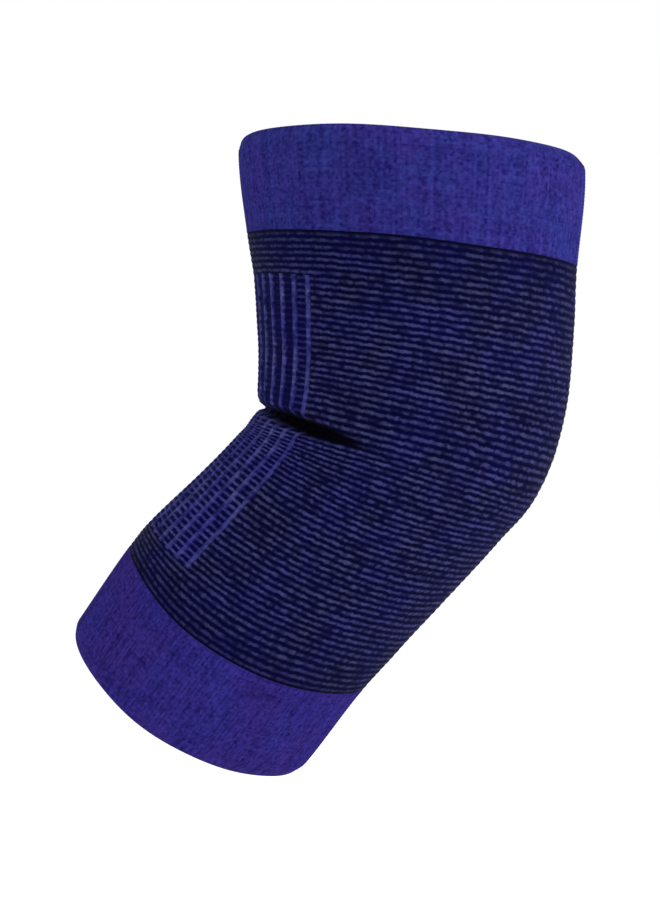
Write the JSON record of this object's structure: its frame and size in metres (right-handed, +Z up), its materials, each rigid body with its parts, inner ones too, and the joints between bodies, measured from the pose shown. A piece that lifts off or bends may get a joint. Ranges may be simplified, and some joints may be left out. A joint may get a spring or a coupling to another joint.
{
  "type": "knee support",
  "caption": "Knitted tubular knee support in its worn shape, bent at the knee, striped round the leg, with a ribbed panel behind the knee and plain cuffs at thigh and calf.",
  "frame": {"origin": "middle of the knee, where the bent sleeve sits on the joint", "axes": "+Z up the thigh, +X forward out of the kneecap, +Y across the leg; the halves match across Y = 0"},
  "size_m": [0.2045, 0.134, 0.2541],
  "materials": {
    "thigh_cuff_knit": "matt fine knit, royal blue",
    "striped_tube_knit": "matt knit, navy with fine blue stripes",
    "ribbed_panel_knit": "matt ribbed knit, navy and blue",
    "calf_cuff_knit": "matt fine knit, royal blue"
  },
  "bodies": {
    "root": {"thigh_cuff": "thigh_cuff_knit", "knee_tube": "striped_tube_knit", "rib_panel": "ribbed_panel_knit", "calf_cuff": "calf_cuff_knit"}
  },
  "joints": []
}
